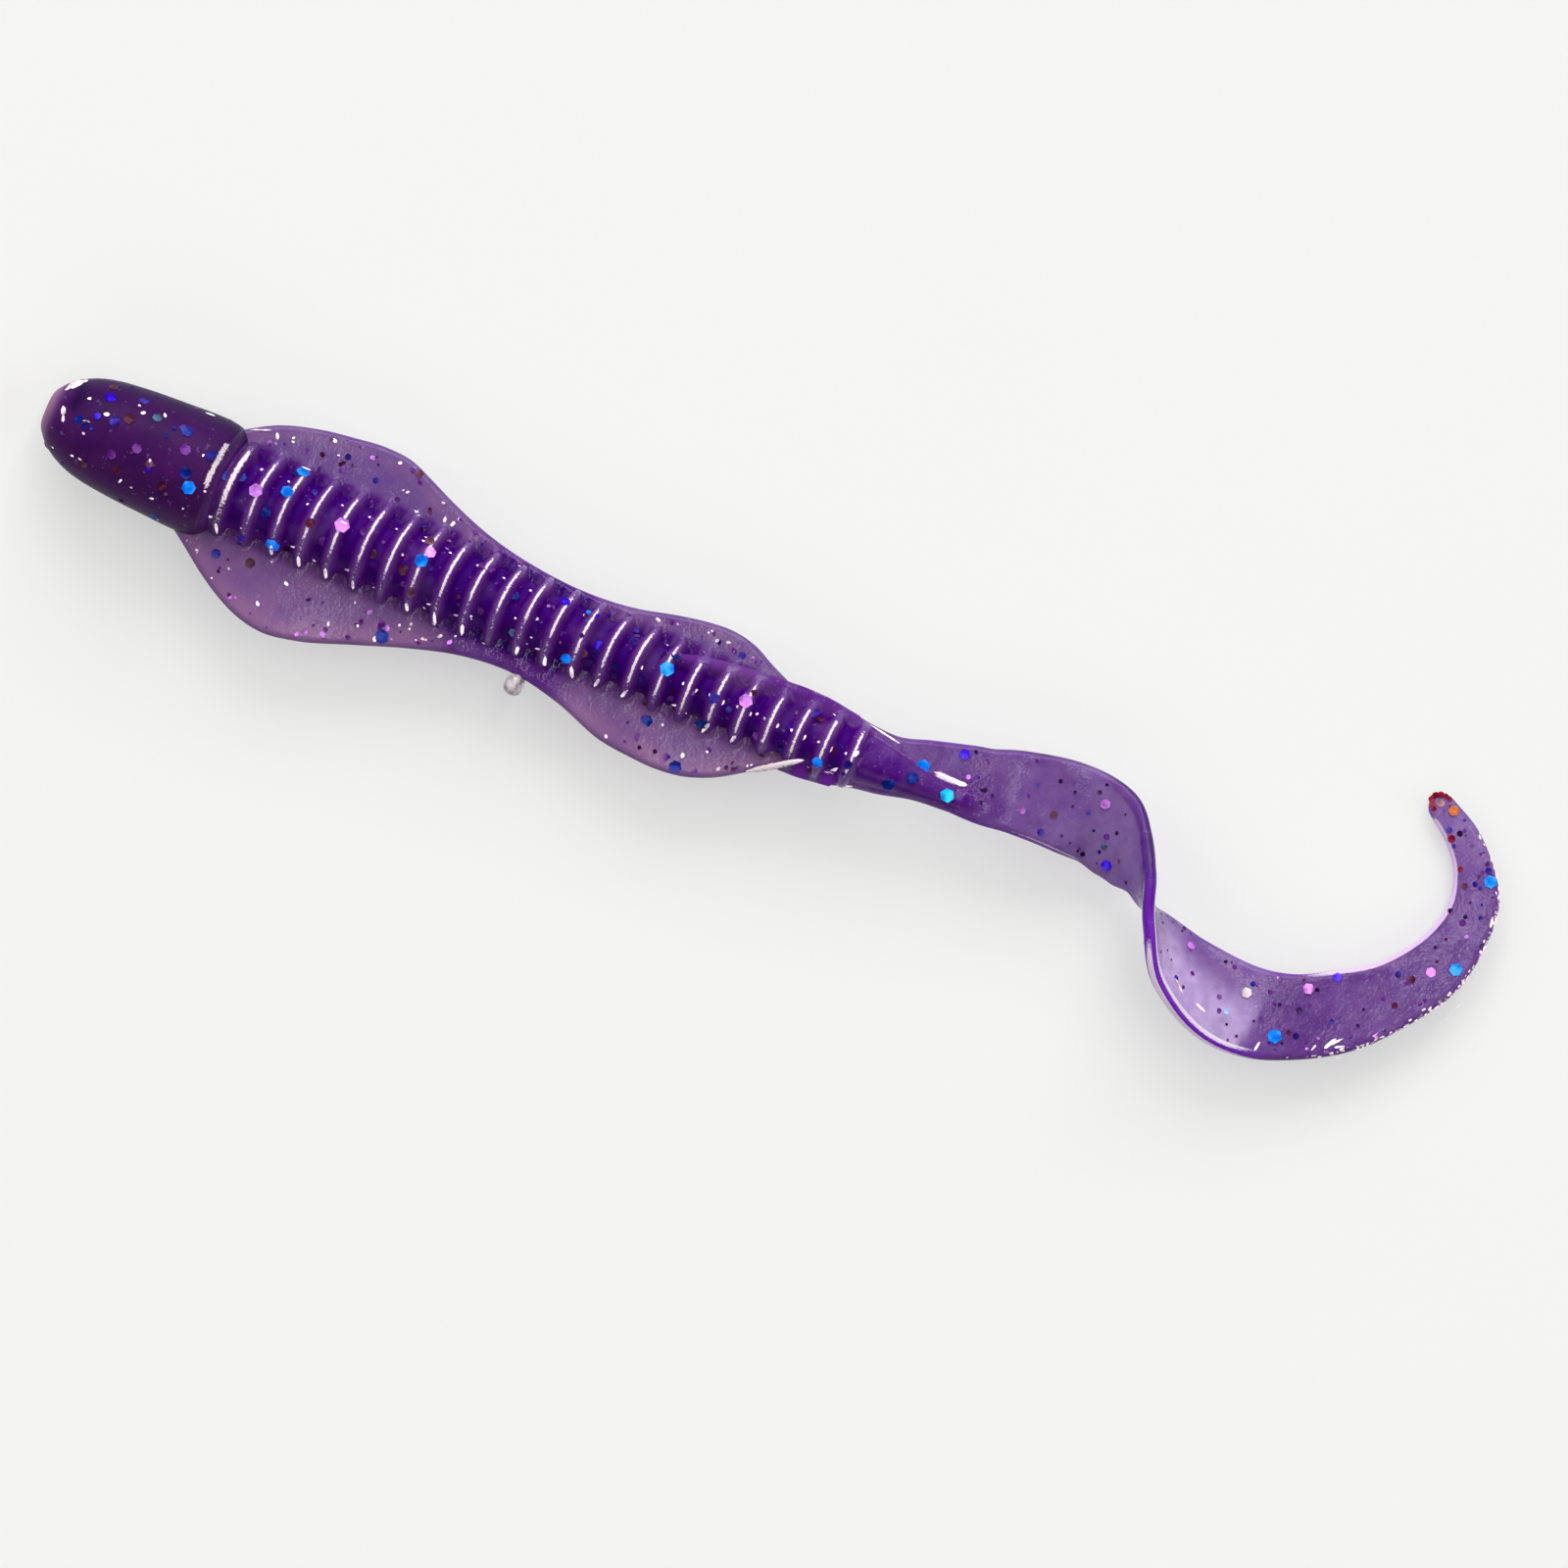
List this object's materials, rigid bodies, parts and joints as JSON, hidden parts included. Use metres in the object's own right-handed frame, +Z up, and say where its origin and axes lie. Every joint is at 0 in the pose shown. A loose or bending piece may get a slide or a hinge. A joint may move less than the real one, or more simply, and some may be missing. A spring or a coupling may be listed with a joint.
{
  "type": "soft plastic fishing worm",
  "caption": "Ribbed soft plastic fishing worm in translucent purple with glitter, side fins and a twisted ribbon tail that curls to its tip.",
  "frame": {"origin": "centre of the small flat nose face", "axes": "+X from the nose to the tail, +Z up as it lies on a table, +Y to the side the curled tip points to"},
  "size_m": [0.0872, 0.0185, 0.0072],
  "materials": {
    "plastisol": "gloss",
    "plastisol_thin": "gloss",
    "clear_plastic": "gloss"
  },
  "bodies": {
    "head": {"head": "plastisol"},
    "neck_rib": {"neck_rib": "plastisol"},
    "front_body": {"front_body": "plastisol", "clear_nub": "clear_plastic"},
    "waist_rib": {"waist_rib": "plastisol"},
    "rear_body": {"rear_body": "plastisol"},
    "rear_rib": {"rear_rib": "plastisol"},
    "tail_root": {"tail_root": "plastisol"},
    "ribbon_1": {"ribbon_1": "plastisol_thin"},
    "ribbon_2": {"ribbon_2": "plastisol_thin"},
    "ribbon_3": {"ribbon_3": "plastisol_thin"},
    "ribbon_4": {"ribbon_4": "plastisol_thin"},
    "ribbon_5": {"ribbon_5": "plastisol_thin"},
    "ribbon_6": {"ribbon_6": "plastisol_thin"},
    "ribbon_7": {"ribbon_7": "plastisol_thin"},
    "tail_tip": {"tail_tip": "plastisol_thin"},
    "fin_front_right": {"fin_front_right": "plastisol_thin"},
    "fin_front_left": {"fin_front_left": "plastisol_thin"},
    "fin_rear_right": {"fin_rear_right": "plastisol_thin"},
    "fin_rear_left": {"fin_rear_left": "plastisol_thin"}
  },
  "joints": [
    {"name": "neck_pitch", "type": "hinge", "parent": "head", "child": "neck_rib", "pos_m": [0.01073, 0, 0], "axis": [0, 1, 0], "range_deg": [-12, 12], "stiffness_Nm_per_rad": 0.002},
    {"name": "neck_yaw", "type": "hinge", "parent": "neck_rib", "child": "front_body", "pos_m": [0.01223, 0, 0], "axis": [0, 0, 1], "range_deg": [-12, 12], "stiffness_Nm_per_rad": 0.002},
    {"name": "waist_pitch", "type": "hinge", "parent": "front_body", "child": "waist_rib", "pos_m": [0.03227, 0, 0], "axis": [0, 1, 0], "range_deg": [-12, 12], "stiffness_Nm_per_rad": 0.002},
    {"name": "waist_yaw", "type": "hinge", "parent": "waist_rib", "child": "rear_body", "pos_m": [0.03395, 0, 0], "axis": [0, 0, 1], "range_deg": [-12, 12], "stiffness_Nm_per_rad": 0.002},
    {"name": "rear_pitch", "type": "hinge", "parent": "rear_body", "child": "rear_rib", "pos_m": [0.0473, 0, 0], "axis": [0, 1, 0], "range_deg": [-12, 12], "stiffness_Nm_per_rad": 0.0012},
    {"name": "rear_yaw", "type": "hinge", "parent": "rear_rib", "child": "tail_root", "pos_m": [0.04897, 0, 0], "axis": [0, 0, 1], "range_deg": [-12, 12], "stiffness_Nm_per_rad": 0.0012},
    {"name": "ribbon_1_bend", "type": "hinge", "parent": "tail_root", "child": "ribbon_1", "pos_m": [0.056, 0.0012, 0], "axis": [0, 1, 0], "range_deg": [-25, 25], "stiffness_Nm_per_rad": 0.0005},
    {"name": "ribbon_2_bend", "type": "hinge", "parent": "ribbon_1", "child": "ribbon_2", "pos_m": [0.06066, 0.00197, -0.00023], "axis": [-0.1297, 0.9915, 0.0075], "range_deg": [-25, 25], "stiffness_Nm_per_rad": 0.0004},
    {"name": "ribbon_3_bend", "type": "hinge", "parent": "ribbon_2", "child": "ribbon_3", "pos_m": [0.06451, 0.00198, -0.00085], "axis": [0.1898, 0.9145, 0.3573], "range_deg": [-25, 25], "stiffness_Nm_per_rad": 0.0003},
    {"name": "ribbon_4_bend", "type": "hinge", "parent": "ribbon_3", "child": "ribbon_4", "pos_m": [0.0676, 0.0002, 0.00036], "axis": [0.0702, 0.5395, 0.8391], "range_deg": [-25, 25], "stiffness_Nm_per_rad": 0.00025},
    {"name": "ribbon_5_bend", "type": "hinge", "parent": "ribbon_4", "child": "ribbon_5", "pos_m": [0.07076, -0.00314, 0.00034], "axis": [-0.1699, -0.6189, 0.7669], "range_deg": [-25, 25], "stiffness_Nm_per_rad": 0.0002},
    {"name": "ribbon_6_bend", "type": "hinge", "parent": "ribbon_5", "child": "ribbon_6", "pos_m": [0.0793, -0.00344, -0.00116], "axis": [0.4374, -0.8992, -0.0111], "range_deg": [-25, 25], "stiffness_Nm_per_rad": 0.00012},
    {"name": "ribbon_7_bend", "type": "hinge", "parent": "ribbon_6", "child": "ribbon_7", "pos_m": [0.08427, 0.00085, -0.00182], "axis": [0.8368, -0.5475, 0], "range_deg": [-25, 25], "stiffness_Nm_per_rad": 0.00006},
    {"name": "tail_tip_bend", "type": "hinge", "parent": "ribbon_7", "child": "tail_tip", "pos_m": [0.08539, 0.00685, -0.00246], "axis": [0.9359, 0.3522, 0], "range_deg": [-25, 25], "stiffness_Nm_per_rad": 0.00003},
    {"name": "fin_front_right_fold", "type": "hinge", "parent": "front_body", "child": "fin_front_right", "pos_m": [0.0185, 0.0031, 0], "axis": [1, 0, 0], "range_deg": [-25, 25], "stiffness_Nm_per_rad": 0.00005},
    {"name": "fin_front_left_fold", "type": "hinge", "parent": "front_body", "child": "fin_front_left", "pos_m": [0.0195, -0.0031, 0], "axis": [1, 0, 0], "range_deg": [-25, 25], "stiffness_Nm_per_rad": 0.00005},
    {"name": "fin_rear_right_fold", "type": "hinge", "parent": "rear_body", "child": "fin_rear_right", "pos_m": [0.0395, 0.0025, 0], "axis": [1, 0, 0], "range_deg": [-25, 25], "stiffness_Nm_per_rad": 0.00005},
    {"name": "fin_rear_left_fold", "type": "hinge", "parent": "rear_body", "child": "fin_rear_left", "pos_m": [0.0398, -0.0025, 0], "axis": [1, 0, 0], "range_deg": [-25, 25], "stiffness_Nm_per_rad": 0.00005}
  ]
}
